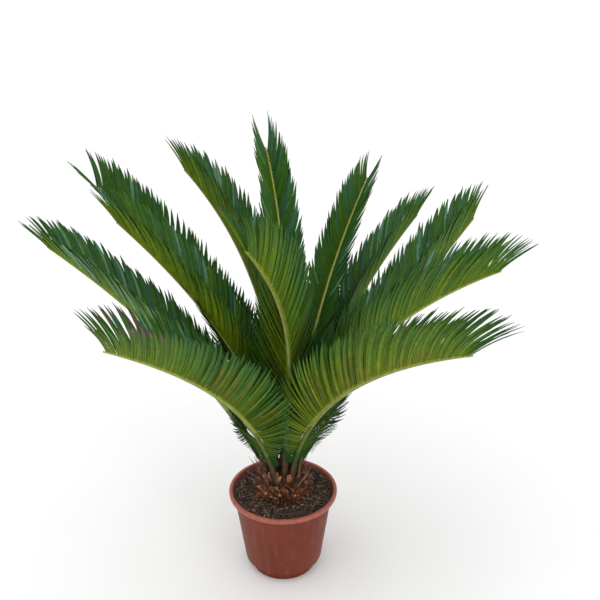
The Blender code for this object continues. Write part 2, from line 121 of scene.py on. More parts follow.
world = bpy.data.worlds.new("white surround")
world.use_nodes = True
world.node_tree.nodes["Background"].inputs["Color"].default_value = (1.0, 1.0, 1.0, 1)
world.node_tree.nodes["Background"].inputs["Strength"].default_value = 0.74
bpy.context.scene.world = world
bpy.context.scene.view_settings.view_transform = "Standard"

overhead = bpy.data.lights.new("overhead softness", "SUN")
overhead.energy = 1.30
overhead.angle = radians(75)
overhead_object = bpy.data.objects.new("overhead softness", overhead)
overhead_object.rotation_euler = (radians(12), radians(-8), 0)
bpy.context.scene.collection.objects.link(overhead_object)

front = bpy.data.lights.new("soft box front", "AREA")
front.size = 2.0
front.energy = 12
front_object = bpy.data.objects.new("soft box front", front)
front_object.location = (1.6, -2.6, 1.9)
front_object.rotation_euler = (1.0, 0, 0.55)
bpy.context.scene.collection.objects.link(front_object)

camera = bpy.data.objects.new("camera", bpy.data.cameras.new("camera"))
camera.data.lens = 52.8
camera.data.sensor_width = 36
camera.location = (0.0375, -1.632, 1.353)
camera.rotation_euler = (radians(66.7), 0, 0)
bpy.context.scene.collection.objects.link(camera)
bpy.context.scene.camera = camera


# Pot: a round nursery pot, moulded in one piece from terracotta-brown plastic.
# Its wall tapers to a step above an inset foot ring, and a faint band runs under the rolled lip.

POT_HEIGHT = 0.197
POT_LIP_RADIUS = 0.120
POT_LIP_WIDTH = 0.0085
POT_LIP_HEIGHT = 0.011
POT_LIP_FLARE = 0.0035
POT_FOOT_RADIUS = 0.0827
POT_TAPER = 0.138
POT_WALL = 0.0024
POT_FLOOR = 0.0035
POT_RING_RADIUS = 0.0710
POT_RING_HEIGHT = 0.0215
POT_STEP_HEIGHT = 0.0245
POT_BAND_LOW = 0.158
POT_BAND_STEP = 0.0012
POT_SIDES = 224
DRAIN_ANGLES = (14, 166, 194, 346)
DRAIN_RADIUS = 0.0815
DRAIN_Z = 0.024
DRAIN_HALF_DEPTH = 0.007
DRAIN_HALF_WIDTH = 0.006
DRAIN_HALF_HEIGHT = 0.005


def pot_wall(z):
    """Outside radius of the tapering wall at height z: foot radius + taper * z."""
    return POT_FOOT_RADIUS + POT_TAPER * z


def rounded(corners, radii, steps):
    """A profile whose corners are rounded.

    Each corner is swapped for a parabola that leaves and meets its two sides at the given
    distance, or at half of a side that is shorter than twice that."""
    corners = np.asarray(corners, dtype=float)
    before = np.roll(corners, 1, axis=0) - corners
    after = np.roll(corners, -1, axis=0) - corners
    before[0] = 0
    after[-1] = 0
    radii = np.asarray(radii, dtype=float)[:, None]
    reach_before = np.linalg.norm(before, axis=1, keepdims=True) + 1e-9
    reach_after = np.linalg.norm(after, axis=1, keepdims=True) + 1e-9
    start = before / reach_before * np.minimum(radii, reach_before / 2)
    end = after / reach_after * np.minimum(radii, reach_after / 2)
    t = np.linspace(0, 1, steps)[None, :, None]
    curve = corners[:, None] + start[:, None] * (1 - t) ** 2 + end[:, None] * t ** 2
    return curve.reshape(-1, 2)


def turned(profile, sides):
    """Points and faces of a profile of (radius, height) turned about Z, closed at both ends.

    Point = (radius cos a, radius sin a, height) for each angle a of a full turn."""
    a = np.arange(sides) * 2 * np.pi / sides
    radius, height = np.asarray(profile).T
    points = np.stack([radius[:, None] * np.cos(a), radius[:, None] * np.sin(a),
                       height[:, None] + 0 * a], -1)
    ring = np.arange(sides)
    ends = [ring[::-1][None], (ring + (len(profile) - 1) * sides)[None]]
    return points, [grid_quads(len(profile), sides, True)] + ends


lip_low = POT_HEIGHT - POT_LIP_HEIGHT
lip_in = POT_LIP_RADIUS - POT_LIP_WIDTH
hollow_z = POT_STEP_HEIGHT + 0.0042
# rows: radius, height, and how far from the corner its rounding starts
pot_corners = np.array([
    (0.0005, 0, 0), (POT_RING_RADIUS, 0, 0.0018), (POT_RING_RADIUS, POT_RING_HEIGHT, 0.0010),
    (pot_wall(POT_STEP_HEIGHT) - 0.0003, POT_STEP_HEIGHT, 0.0018),
    (pot_wall(0.1515), 0.1515, 0.0008), (pot_wall(0.1530) + 0.0005, 0.1530, 0.0008),
    (pot_wall(0.1545), 0.1545, 0.0008),
    (pot_wall(POT_BAND_LOW), POT_BAND_LOW, 0.0010),
    (pot_wall(POT_BAND_LOW) + POT_BAND_STEP, POT_BAND_LOW + POT_BAND_STEP, 0.0010),
    (pot_wall(0.1780) + POT_BAND_STEP, 0.1780, 0.0008),
    (pot_wall(0.1792) + POT_BAND_STEP + 0.0005, 0.1792, 0.0008),
    (pot_wall(0.1804) + POT_BAND_STEP, 0.1804, 0.0008),
    (pot_wall(lip_low) + POT_BAND_STEP, lip_low, 0.0012),
    (POT_LIP_RADIUS - 0.0006, lip_low - 0.0006, 0.0040), (POT_LIP_RADIUS, POT_HEIGHT - 0.0004, 0.0042),
    (lip_in, POT_HEIGHT, 0.0040), (lip_in, lip_low + POT_LIP_FLARE, 0.002),
    (pot_wall(lip_low) - POT_WALL, lip_low, 0.003), (pot_wall(hollow_z) - POT_WALL, hollow_z, 0.002),
    (POT_RING_RADIUS - POT_WALL, POT_RING_HEIGHT + POT_WALL, 0.001),
    (POT_RING_RADIUS - POT_WALL, POT_FLOOR, 0.001), (0.0005, POT_FLOOR, 0)])
pot_profile = rounded(pot_corners[:, :2], pot_corners[:, 2], 7)
pot_points, pot_faces = turned(pot_profile, POT_SIDES)
# The wall is a little out of round, and the mould's seam stands up as a faint line
spin = np.arctan2(pot_points[..., 1], pot_points[..., 0])
height = pot_points[..., 2]
swell = 0.00035 * np.sin(2 * spin + 0.6) + 0.0002 * np.sin(5 * spin + 40 * height)
seam = 0.00035 * np.exp(-((spin + 1.44) / 0.02) ** 2)
on_wall = np.clip((height - 0.028) / 0.02, 0, 1) * np.clip((lip_low - height) / 0.01, 0, 1)
radius = np.hypot(pot_points[..., 0], pot_points[..., 1])
outer = radius > pot_wall(height) - POT_WALL / 2
scale = 1 + np.where(outer, (swell + seam) * on_wall, 0) / np.maximum(radius, 0.01)
pot_points[..., 0] *= scale
pot_points[..., 1] *= scale

plastic = mottled("pot plastic", ((0.142, 0.024, 0.010), (0.192, 0.033, 0.014)),
                  0.50, 0.09, 0.0002)
plastic.node_tree.nodes["Principled BSDF"].inputs["Specular IOR Level"].default_value = 0.22
nodes, links = plastic.node_tree.nodes, plastic.node_tree.links
# Dust and fine scuffs: faint streaks that run down the wall, and a few pale specks
place = nodes.new("ShaderNodeTexCoord")
stretch = nodes.new("ShaderNodeMapping")
stretch.inputs["Scale"].default_value = (90, 90, 7)
streaks = nodes.new("ShaderNodeTexNoise")
streaks.inputs["Scale"].default_value = 1.0
streaks.inputs["Detail"].default_value = 5
streak_ramp = nodes.new("ShaderNodeValToRGB")
streak_ramp.color_ramp.elements[0].position = 0.50
streak_ramp.color_ramp.elements[1].position = 0.90
specks = nodes.new("ShaderNodeTexNoise")
specks.inputs["Scale"].default_value = 210
specks.inputs["Detail"].default_value = 1
speck_ramp = nodes.new("ShaderNodeValToRGB")
speck_ramp.color_ramp.elements[0].position = 0.755
speck_ramp.color_ramp.elements[1].position = 0.80
dusty = nodes.new("ShaderNodeMix")
dusty.data_type = "RGBA"
dusty.inputs["B"].default_value = (0.25, 0.068, 0.036, 1)
dotted = nodes.new("ShaderNodeMix")
dotted.data_type = "RGBA"
dotted.inputs["B"].default_value = (0.34, 0.17, 0.12, 1)
body_colour = nodes["Principled BSDF"].inputs["Base Color"].links[0].from_socket
links.new(place.outputs["Object"], stretch.inputs["Vector"])
links.new(stretch.outputs["Vector"], streaks.inputs["Vector"])
links.new(streaks.outputs["Fac"], streak_ramp.inputs["Fac"])
links.new(place.outputs["Object"], specks.inputs["Vector"])
links.new(specks.outputs["Fac"], speck_ramp.inputs["Fac"])
links.new(streak_ramp.outputs["Color"], dusty.inputs["Factor"])
links.new(body_colour, dusty.inputs["A"])
links.new(dusty.outputs["Result"], dotted.inputs["A"])
links.new(speck_ramp.outputs["Color"], dotted.inputs["Factor"])
links.new(dotted.outputs["Result"], nodes["Principled BSDF"].inputs["Base Color"])

# The lip is the same plastic painted lighter, as a painted highlight for the light that the rolled lip
# catches from above
lip_highlight_plastic = mottled("pot lip painted highlight", ((0.29, 0.068, 0.040), (0.42, 0.112, 0.074)),
                      0.38, 0.012, 0.0001)
face_rows = np.repeat(np.arange(len(pot_profile) - 1), POT_SIDES)
highlit_lip_rows = pot_profile[face_rows, 1] > lip_low - 0.0008
highlit_lip_rows &= pot_profile[face_rows, 0] > lip_in - 0.0005
pot_finish = np.concatenate([highlit_lip_rows.astype(int), [0, 0]])
pot = mesh_piece("nursery_pot", pot_points.reshape(-1, 3), pot_faces, [plastic, lip_highlight_plastic],
                 pot_finish, crease=50)


def swept(paths, wides, thicks, ring):
    """Points and faces of many bars at once, each closed at both ends.

    Point = station of the path + wide vector * ring x + thick vector * ring y, and the ring
    runs round so that wide x thick points along the path."""
    count, stations = paths.shape[:2]
    sides = len(ring)
    ring = np.asarray(ring, dtype=float)
    points = (paths[:, :, None] + wides[:, :, None] * ring[:, :1]
              + thicks[:, :, None] * ring[:, 1:]).reshape(-1, 3)
    starts = np.arange(count) * stations * sides
    quads = (grid_quads(stations, sides, True)[None] + starts[:, None, None]).reshape(-1, 4)
    foot = starts[:, None] + np.arange(sides)[::-1]
    tip = starts[:, None] + (stations - 1) * sides + np.arange(sides)
    return points, [quads, foot, tip]


# The drain slots go through the step of the foot, and are cut out by boxes that reach past it
slots = np.radians(DRAIN_ANGLES)
outwards = np.stack([np.cos(slots), np.sin(slots), 0 * slots], -1)
sideways = np.stack([-np.sin(slots), np.cos(slots), 0 * slots], -1)
slot_paths = np.stack([outwards * (DRAIN_RADIUS - DRAIN_HALF_DEPTH),
                       outwards * (DRAIN_RADIUS + DRAIN_HALF_DEPTH)], 1)
slot_paths[..., 2] += DRAIN_Z
slot_wides = np.repeat((sideways * DRAIN_HALF_WIDTH)[:, None], 2, axis=1)
slot_thicks = np.repeat(np.array([[[0, 0, DRAIN_HALF_HEIGHT]]]), 4, axis=0).repeat(2, axis=1)
cutter = mesh_piece("drain_cutter", *swept(slot_paths, slot_wides, slot_thicks,
                                           [(-1, -1), (1, -1), (1, 1), (-1, 1)]), [plastic])
cut = pot.modifiers.new("drain", "BOOLEAN")
cut.operation = "DIFFERENCE"
cut.object = cutter
graph = bpy.context.evaluated_depsgraph_get()
cut_mesh = bpy.data.meshes.new_from_object(pot.evaluated_get(graph))
pot.modifiers.clear()
pot.data = cut_mesh
bpy.data.objects.remove(cutter)
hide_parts("pot")
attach(pot, "root")


# Soil: a moist mix of peat, bark and fibre that fills the pot to just under its lip.
# Its surface is rough ground, with crumbs, bark chips and root fibres loose on top.

SOIL_TOP = 0.1885
SOIL_EDGE = 0.1094
SOIL_WAVE = 0.0025
SOIL_WAVE_TURNS = (62, 71, 131, -95)
SOIL_LEVEL_RADIUS = 0.068
SOIL_FADE = 0.012


def lumps(x, y, size, seed):
    """Uneven relief between about -1 and 1: the mean of thirty cosine waves.

    Each wave has its own heading and phase and a length near the given size."""
    draw = np.random.default_rng(seed)
    heading = draw.uniform(0, 2 * np.pi, 30)
    length = size * draw.uniform(0.6, 1.7, 30)
    phase = draw.uniform(0, 2 * np.pi, 30)
    along = x[..., None] * np.cos(heading) + y[..., None] * np.sin(heading)
    return np.cos(along * 2 * np.pi / length + phase).sum(-1) / 7.5


def ground(x, y):
    """Height of the soil at x, y: its level, long waves that fade at the rim, and its lumps."""
    r = np.hypot(x, y)
    share = np.clip(np.minimum(r - SOIL_LEVEL_RADIUS, SOIL_EDGE - r) / SOIL_FADE, 0, 1)
    long_x, long_y, short_x, short_y = SOIL_WAVE_TURNS
    wave = (2 * np.sin(long_x * x) * np.cos(long_y * y) + np.sin(short_x * x + short_y * y)) / 3
    rough = 0.0017 * lumps(x, y, 0.014, 3) + 0.0009 * np.abs(lumps(x, y, 0.006, 4))
    inside = np.clip((SOIL_EDGE + 0.003 - r) / 0.006, 0, 1)
    return SOIL_TOP + SOIL_WAVE * share * wave + rough * inside


gap = 0.0004
rim = np.array([(POT_RING_RADIUS - POT_WALL - gap, POT_FLOOR + gap),
                (POT_RING_RADIUS - POT_WALL - gap, POT_RING_HEIGHT + POT_WALL + gap),
                (pot_wall(hollow_z) - POT_WALL - gap, hollow_z + gap),
                (pot_wall(lip_low) - POT_WALL - gap, lip_low)])
inward = np.linspace(SOIL_EDGE, 0.0006, 110)
soil_profile = np.concatenate([[(0.0006, POT_FLOOR + gap)], rim,
                               np.stack([inward, 0 * inward + SOIL_TOP], -1)])
soil_points, soil_faces = turned(soil_profile, 400)
soil_points[5:, :, 2] = ground(soil_points[5:, :, 0], soil_points[5:, :, 1])
earth = mottled("moist soil", ((0.007, 0.005, 0.004), (0.080, 0.048, 0.033)), 0.95, 0.005, 0.0014)
soil = mesh_piece("soil_bed", soil_points.reshape(-1, 3), soil_faces, [earth])
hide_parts("soil")
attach(soil, "root")

crumb_finishes = [
    mottled("peat crumb", ((0.006, 0.004, 0.003), (0.020, 0.012, 0.008)), 0.95, 0.003, 0.0004),
    mottled("bark crumb", ((0.045, 0.024, 0.016), (0.120, 0.070, 0.045)), 0.9, 0.003, 0.0004),
    mottled("bark chip", ((0.12, 0.072, 0.047), (0.25, 0.16, 0.105)), 0.85, 0.003, 0.0003),
    mottled("dry fibre", ((0.22, 0.15, 0.09), (0.38, 0.27, 0.18)), 0.8, 0.002, 0.0002),
    mottled("mineral grain", ((0.28, 0.27, 0.24), (0.45, 0.43, 0.40)), 0.9, 0.003, 0.0002)]


def scattered(draw, count, low, high):
    """Places on the soil between two distances from the middle, even over its area."""
    r = np.sqrt(draw.uniform(low ** 2, high ** 2, count))
    a = draw.uniform(0, 2 * np.pi, count)
    x, y = r * np.cos(a), r * np.sin(a)
    return np.stack([x, y, ground(x, y)], -1)


def lying(draw, middles, lengths, widths, thicknesses, shape, bend):
    """Bars that lie about at the given middles, for swept.

    Each heads its own way, tips a little, and bows up by its own share of bend times its
    length; shape is the half width at each station as a share."""
    count = len(middles)
    heading = draw.uniform(0, 2 * np.pi, count)
    tip = draw.normal(0, 0.22, count)
    along = np.stack([np.cos(heading) * np.cos(tip), np.sin(heading) * np.cos(tip), np.sin(tip)], -1)
    roll = draw.normal(0, 0.5, count)
    flat = np.stack([-np.sin(heading), np.cos(heading), 0 * heading], -1)
    rise = np.cross(along, flat)
    wide = flat * np.cos(roll)[:, None] + rise * np.sin(roll)[:, None]
    thick = np.cross(along, wide)
    t = np.linspace(-0.5, 0.5, len(shape))[None, :, None]
    side_bow = draw.normal(0, bend, count)[:, None, None]
    bow = np.abs(draw.normal(0, bend, count))[:, None, None]
    length = lengths[:, None, None]
    paths = (middles[:, None] + along[:, None] * t * length
             + (rise[:, None] * bow + flat[:, None] * side_bow) * (0.25 - t * t) * 2 * length)
    share = np.asarray(shape)[None, :, None]
    wides = wide[:, None] * widths[:, None, None] / 2 * share
    thicks = thick[:, None] * thicknesses[:, None, None] / 2 * share
    return paths, wides, thicks


draw = np.random.default_rng(11)
FIVE = [(np.cos(a), np.sin(a)) for a in np.arange(5) * 2 * np.pi / 5]
sets = []
# rows: count, longest and shortest length, width, thickness, shape, bend, odds of each finish
for count, long, short, wide, thick, shape, bend, odds in (
        (2300, 0.0050, 0.0020, 0.0030, 0.0024, (0.35, 1, 0.9, 0.3), 0.0, (0.50, 0.37, 0.126, 0.0, 0.004)),
        (620, 0.0130, 0.0050, 0.0044, 0.0020, (0.7, 1, 0.9, 0.6), 0.04, (0.30, 0.44, 0.22, 0.04, 0.0)),
        (230, 0.0220, 0.0080, 0.0009, 0.0008, (0.6, 1, 1, 1, 1, 0.4), 0.10, (0.0, 0.35, 0.40, 0.25, 0.0))):
    middles = scattered(draw, count, 0.050, SOIL_EDGE - 0.0035 - long * 0.25)
    lengths = draw.uniform(short, long, count)
    widths = wide * draw.uniform(0.6, 1.2, count)
    thicknesses = thick * draw.uniform(0.7, 1.2, count)
    middles[:, 2] += thicknesses * 0.25
    kind = draw.choice(5, count, p=odds)
    points, faces = swept(*lying(draw, middles, lengths, widths, thicknesses, shape, bend), FIVE)
    sets.append((points, faces, np.concatenate([np.repeat(kind, (len(shape) - 1) * 5), kind, kind])))


def joined(name, sets, finishes, crease=None):
    """One object from several sets of (points, faces, finish of each face)."""
    starts = np.cumsum([0] + [len(points) for points, _, _ in sets[:-1]])
    face_sets = [faces + start for (_, groups, _), start in zip(sets, starts) for faces in groups]
    return mesh_piece(name, np.concatenate([points for points, _, _ in sets]), face_sets, finishes,
                      np.concatenate([finish for _, _, finish in sets]), crease)


crumbs = joined("soil_crumbs", sets, crumb_finishes)
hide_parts("soil")
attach(crumbs, "root")


# Caudex: the squat trunk of the palm, a brown body wrapped in the woody bases of old fronds.
# Scales overlap up it in spirals, and between them stand dry spikes and brown wool.

CAUDEX_FOOT_RADIUS = 0.053
CAUDEX_RADIUS = 0.057
CAUDEX_TOP = 0.2405
CAUDEX_SHAPE = ((0.18, 0.97), (0.40, 1.0), (0.60, 0.93), (0.78, 0.80), (0.91, 0.60), (0.98, 0.34))
CAUDEX_FOOT = SOIL_TOP - 0.006
GOLDEN_TURN = 2.399963


def caudex_radius(z):
    """Radius of the trunk at height z, read off its profile from foot to domed top."""
    low = SOIL_TOP
    heights = [CAUDEX_FOOT, low] + [low + share * (CAUDEX_TOP - low) for share, _ in CAUDEX_SHAPE]
    wides = [CAUDEX_FOOT_RADIUS * 0.96, CAUDEX_FOOT_RADIUS]
    wides += [wide * CAUDEX_RADIUS for _, wide in CAUDEX_SHAPE]
    return np.interp(z, heights + [CAUDEX_TOP], wides + [0.004])


caudex_z = np.concatenate([np.linspace(CAUDEX_FOOT, CAUDEX_TOP - 0.006, 70),
                           np.linspace(CAUDEX_TOP - 0.0055, CAUDEX_TOP, 12)])
caudex_points, caudex_faces = turned(np.stack([caudex_radius(caudex_z), caudex_z], -1), 240)
around = np.arctan2(caudex_points[..., 1], caudex_points[..., 0])
ribs = lumps(around * 0.05, caudex_points[..., 2] * 0.5, 0.008, 21)
wool = lumps(around * 0.05, caudex_points[..., 2], 0.003, 22)
relief = 0.91 + 0.05 * ribs + 0.02 * wool
caudex_points[..., 0] *= relief
caudex_points[..., 1] *= relief
caudex_finishes = [
    mottled("bark brown", ((0.028, 0.010, 0.006), (0.120, 0.042, 0.020)), 0.95, 0.005, 0.0012),
    mottled("scale rust", ((0.090, 0.026, 0.011), (0.27, 0.090, 0.038)), 0.85, 0.005, 0.0008),
    mottled("scale orange", ((0.20, 0.064, 0.024), (0.46, 0.175, 0.068)), 0.8, 0.005, 0.0008),
    mottled("dry straw", ((0.26, 0.13, 0.068), (0.46, 0.27, 0.16)), 0.75, 0.004, 0.0004),
    mottled("dry spike", ((0.060, 0.026, 0.020), (0.30, 0.155, 0.115)), 0.7, 0.008, 0.0003)]
caudex = mesh_piece("caudex_body", caudex_points.reshape(-1, 3), caudex_faces, caudex_finishes[:1])
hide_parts("caudex")
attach(caudex, "root")


def standing(draw, z, a, lengths, widths, thicknesses, lean, shape, curl):
    """Bars that stand on the trunk at height z and angle a, for swept.

    Each leaves the bark along outward * cos(lean) + up * sin(lean), and curl turns it further
    up, in radians, by its tip; the blade's face looks outwards."""
    outward = np.stack([np.cos(a), np.sin(a), 0 * a], -1)
    across = np.stack([-np.sin(a), np.cos(a), 0 * a], -1)
    skew = draw.normal(0, 0.34, len(a))[:, None]
    foot = outward * (caudex_radius(z) * 0.93 - 0.003)[:, None] + np.stack([0 * a, 0 * a, z], -1)
    steps = len(shape)
    t = (np.arange(steps - 1) + 0.5) / (steps - 1)
    angle = lean[:, None] + curl * t[None]
    heading = (outward[:, None] * np.cos(angle)[..., None]
               + np.array([0, 0, 1]) * np.sin(angle)[..., None])
    heading = heading + across[:, None] * skew[:, None]
    heading /= np.linalg.norm(heading, axis=-1, keepdims=True)
    stride = heading * (lengths / (steps - 1))[:, None, None]
    paths = foot[:, None] + np.concatenate([0 * foot[:, None], np.cumsum(stride, axis=1)], axis=1)
    heading = np.concatenate([heading[:, :1], heading], axis=1)
    wide = across[:, None] - (across[:, None] * heading).sum(-1, keepdims=True) * heading
    wide /= np.linalg.norm(wide, axis=-1, keepdims=True)
    thick = np.cross(heading, wide)
    share = np.asarray(shape)[None, :, None]
    wides = wide * widths[:, None, None] / 2 * share
    thicks = thick * thicknesses[:, None, None] / 2 * np.maximum(share, 0.35)
    return paths, wides, thicks


BLADE = [(-1, -0.5), (-0.5, -1), (0.5, -1), (1, -0.5), (0.5, 0.9), (-0.5, 0.9)]
FOUR = [(-1, 0), (0, -1), (1, 0), (0, 1)]
draw = np.random.default_rng(31)
sets = []
# Old leaf bases: short thick scales in loose golden-angle spirals, some worn and some broken off
count = 170
share = np.arange(count) / count
z = SOIL_TOP + 0.001 + (CAUDEX_TOP - SOIL_TOP - 0.008) * share ** 0.85 + draw.normal(0, 0.0022, count)
a = np.arange(count) * GOLDEN_TURN + draw.normal(0, 0.22, count)
lengths = draw.uniform(0.009, 0.018, count) + 0.009 * share
kind = draw.choice(4, count, p=(0.34, 0.40, 0.19, 0.07))
lean = np.radians(15 + 48 * share + draw.normal(0, 14, count))
points, faces = swept(*standing(draw, z, a, lengths, draw.uniform(0.006, 0.0145, count),
                                draw.uniform(0.0030, 0.0070, count), lean,
                                (0.9, 1, 0.95, 0.78, 0.48), 0.5), BLADE)
sets.append((points, faces, np.concatenate([np.repeat(kind, 4 * 6), kind, kind])))
# Cut stumps of leaf stalks, pale and flat at the end, a few more on the left than on the right
a = np.radians((203, 214, 229, 262, 300, 332, 20, 70, 130, 165))
count = len(a)
z = SOIL_TOP + draw.uniform(0.014, 0.034, count)
kind = draw.choice((1, 2, 3), count, p=(0.2, 0.5, 0.3))
points, faces = swept(*standing(draw, z, a, draw.uniform(0.016, 0.024, count),
                                draw.uniform(0.008, 0.011, count), draw.uniform(0.005, 0.007, count),
                                np.radians(draw.uniform(25, 60, count)),
                                (1, 1, 0.95, 0.90), 0.3), BLADE)
sets.append((points, faces, np.concatenate([np.repeat(kind, 3 * 6), kind, kind])))
# Ragged slips of dry sheath that peel off between them
count = 300
z = draw.uniform(SOIL_TOP + 0.002, CAUDEX_TOP - 0.006, count)
a = draw.uniform(0, 2 * np.pi, count)
kind = draw.choice(4, count, p=(0.36, 0.36, 0.16, 0.12))
points, faces = swept(*standing(draw, z, a, draw.uniform(0.008, 0.022, count),
                                draw.uniform(0.0015, 0.0055, count),
                                draw.uniform(0.0006, 0.0012, count),
                                np.radians(draw.uniform(-10, 80, count)),
                                (1, 1, 0.8, 0.25), draw.normal(0, 0.5)), FOUR)
sets.append((points, faces, np.concatenate([np.repeat(kind, 3 * 4), kind, kind])))
scales = joined("caudex_scales", sets, caudex_finishes, crease=60)
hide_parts("caudex")
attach(scales, "root")

# Dry spikes: the thin stiff scale leaves round the crown, some of which lean out over the soil
SPIKE_ANGLES = np.radians(np.concatenate([
    np.linspace(146, 236, 34), np.linspace(304, 376, 30), (259, 284, 34, 52, 75, 98, 121, 136)]))
count = len(SPIKE_ANGLES)
z = 0.2185 + draw.uniform(-0.014, 0.012, count)
points, faces = swept(*standing(draw, z, SPIKE_ANGLES + draw.normal(0, 0.07, count),
                                draw.uniform(0.026, 0.064, count), draw.uniform(0.0024, 0.0052, count),
                                draw.uniform(0.0014, 0.0024, count),
                                np.radians(draw.uniform(42, 82, count)),
                                (1, 1, 0.85, 0.65, 0.4, 0.06), 0.1), FOUR)
kind = draw.choice((3, 4), count, p=(0.40, 0.60))
spike_sets = [(points, faces, np.concatenate([np.repeat(kind, 5 * 4), kind, kind]))]
# Brown wool: fine hairs that fill the gaps between the scales
count = 6500
z = draw.uniform(SOIL_TOP, CAUDEX_TOP, count)
a = draw.uniform(0, 2 * np.pi, count)
points, faces = swept(*standing(draw, z, a, draw.uniform(0.006, 0.020, count), 0.0006 * np.ones(count),
                                0.0005 * np.ones(count), np.radians(draw.uniform(-25, 88, count)),
                                (1, 0.9, 0.7, 0.3), 0.5), [(-1, -0.6), (1, -0.6), (0, 1)])
kind = draw.choice((0, 1, 2, 3), count, p=(0.34, 0.40, 0.19, 0.07))
spike_sets.append((points, faces, np.concatenate([np.repeat(kind, 3 * 3), kind, kind])))
spikes = joined("caudex_spikes", spike_sets, caudex_finishes)
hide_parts("caudex")
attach(spikes, "root")


# Ribs: each frond's stiff midrib, brown and woolly where it leaves the crown, green above that and
# yellow-green beyond. It arches out, narrows to the tip and carries leaflets along both edges.

FROND_FIELDS = ("azimuth", "seat", "length", "rise", "tip", "bend", "swing", "roll", "leaf", "spread")
FRONDS = (
    (189, 0.034, 0.684, 66, 36, 1.06, -15, 6, 0.119, 2),
    (238, 0.034, 0.622, 78, 30, 0.62, -22, 6, 0.132, 18),
    (283, 0.020, 0.741, 97, 46, 0.43, -43, -3, 0.148, 0),
    (308, 0.034, 0.659, 90, 24, 0.51, 10, 8, 0.158, 4),
    (347, 0.034, 0.660, 82, 19, 0.99, 18, 8, 0.144, 8),
    (22, 0.034, 0.665, 56, 50, 1.14, -5, 6, 0.130, 8),
    (48, 0.034, 0.640, 85, 37, 0.43, -9, 16, 0.121, -3),
    (62, 0.020, 0.665, 71, 52, 0.92, -14, -20, 0.102, 7),
    (93, 0.034, 0.690, 72, 32, 0.80, 0, 0, 0.125, 0),
    (113, 0.008, 0.713, 98, 60, 2.04, 5, 17, 0.110, 2),
    (133, 0.025, 0.702, 100, 44, 1.00, 27, -13, 0.122, 1),
    (161, 0.034, 0.737, 96, 39, 0.49, -2, 21, 0.121, 14),
    (184, 0.021, 0.659, 98, 44, 0.52, -6, 6, 0.130, 1),
)
SWING_POWER = 1.5
CROWN_Z = 0.243
CROWN_SLOPE = 0.35
CROWN_RADIUS = 0.034
RIB_WIDTH = (0.0118, 0.0034)
RIB_HEIGHT = (0.0102, 0.0030)
RIB_TAPER_POWER = 0.8


def frond_curve(spec, s):
    """Places, tangents, side directions and upper directions of a frond's rib at shares s.

    The tangent climbs at rise + (tip - rise) s^bend and heads along azimuth + swing s^1.5; the
    rib is its running sum, and roll turns the other two directions about it."""
    fine = np.linspace(0, 1, 161)
    elevation = np.radians(spec["rise"] + (spec["tip"] - spec["rise"]) * fine ** spec["bend"])
    azimuth = np.radians(spec["azimuth"] + spec["swing"] * fine ** SWING_POWER)
    level = np.cos(elevation)
    tangent = np.stack([level * np.cos(azimuth), level * np.sin(azimuth), np.sin(elevation)], 1)
    side = np.stack([-np.sin(azimuth), np.cos(azimuth), 0 * fine], 1)
    upper = np.cross(tangent, side)
    roll = radians(spec["roll"])
    side, upper = (side * np.cos(roll) - upper * np.sin(roll),
                   upper * np.cos(roll) + side * np.sin(roll))
    start = azimuth[0]
    foot = np.array([spec["seat"] * np.cos(start), spec["seat"] * np.sin(start),
                     CROWN_Z + CROWN_SLOPE * (CROWN_RADIUS - spec["seat"])])
    middles = (tangent[1:] + tangent[:-1]) / 2 * spec["length"] / 160
    place = foot + np.vstack([np.zeros(3), np.cumsum(middles, axis=0)])
    place, tangent, side, upper = [
        np.stack([np.interp(s, fine, part[:, k]) for k in range(3)], -1)
        for part in (place, tangent, side, upper)]
    place = place + tangent * (np.minimum(s, 0) * spec["length"])[..., None]
    return place, tangent, side, upper


rib_finishes = [
    mottled("petiole foot", ((0.034, 0.030, 0.010), (0.125, 0.062, 0.028)), 0.7, 0.009, 0.0005),
    mottled("petiole green", ((0.030, 0.052, 0.008), (0.060, 0.088, 0.014)), 0.5, 0.015, 0.0002),
    mottled("rib green", ((0.070, 0.105, 0.014), (0.125, 0.165, 0.022)), 0.45, 0.02, 0.0001),
    mottled("rib yellow green", ((0.135, 0.175, 0.020), (0.215, 0.255, 0.034)), 0.45, 0.02, 0.0001),
    mottled("rib pale yellow", ((0.38, 0.43, 0.10), (0.52, 0.56, 0.18)), 0.45, 0.02, 0.0001)]
EIGHT = [(-1, -0.2), (-0.6, -0.85), (0, -1), (0.6, -0.85),
         (1, -0.2), (0.75, 0.6), (0, 0.8), (-0.75, 0.6)]
specs = [dict(zip(FROND_FIELDS, row)) for row in FRONDS]
s = np.concatenate([[-0.025, -0.012, 0.0, 0.012, 0.026, 0.045], np.linspace(0.065, 1.0, 84)])
sets = []
for spec in specs:
    place, tangent, side, upper = frond_curve(spec, s)
    taper = np.maximum(s, 0) ** RIB_TAPER_POWER
    swollen = 1 + 0.35 * np.exp(-np.maximum(s, 0) / 0.02)
    half_width = (RIB_WIDTH[0] + (RIB_WIDTH[1] - RIB_WIDTH[0]) * taper) / 2 * swollen
    half_height = (RIB_HEIGHT[0] + (RIB_HEIGHT[1] - RIB_HEIGHT[0]) * taper) / 2
    points, faces = swept(place[None], (side * half_width[:, None])[None],
                          (upper * half_height[:, None])[None], EIGHT)
    stretch = np.select([s[:-1] < 0.045, s[:-1] < 0.12, s[:-1] < 0.26], [0, 1, 2], 3)
    kind = np.repeat(stretch[:, None], 8, axis=1)
    top = np.zeros(8, dtype=bool)
    top[4:8] = True
    kind = np.where((kind == 3) & top, 4, kind)
    kind = np.where((kind == 2) & top, 3, kind)
    sets.append((points, faces, np.concatenate([kind.ravel(), [0, 3]])))
ribs_piece = joined("frond_ribs", sets, rib_finishes)
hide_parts(*["frond_%02d" % (n + 1) for n in range(len(specs))])
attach(ribs_piece, "root")


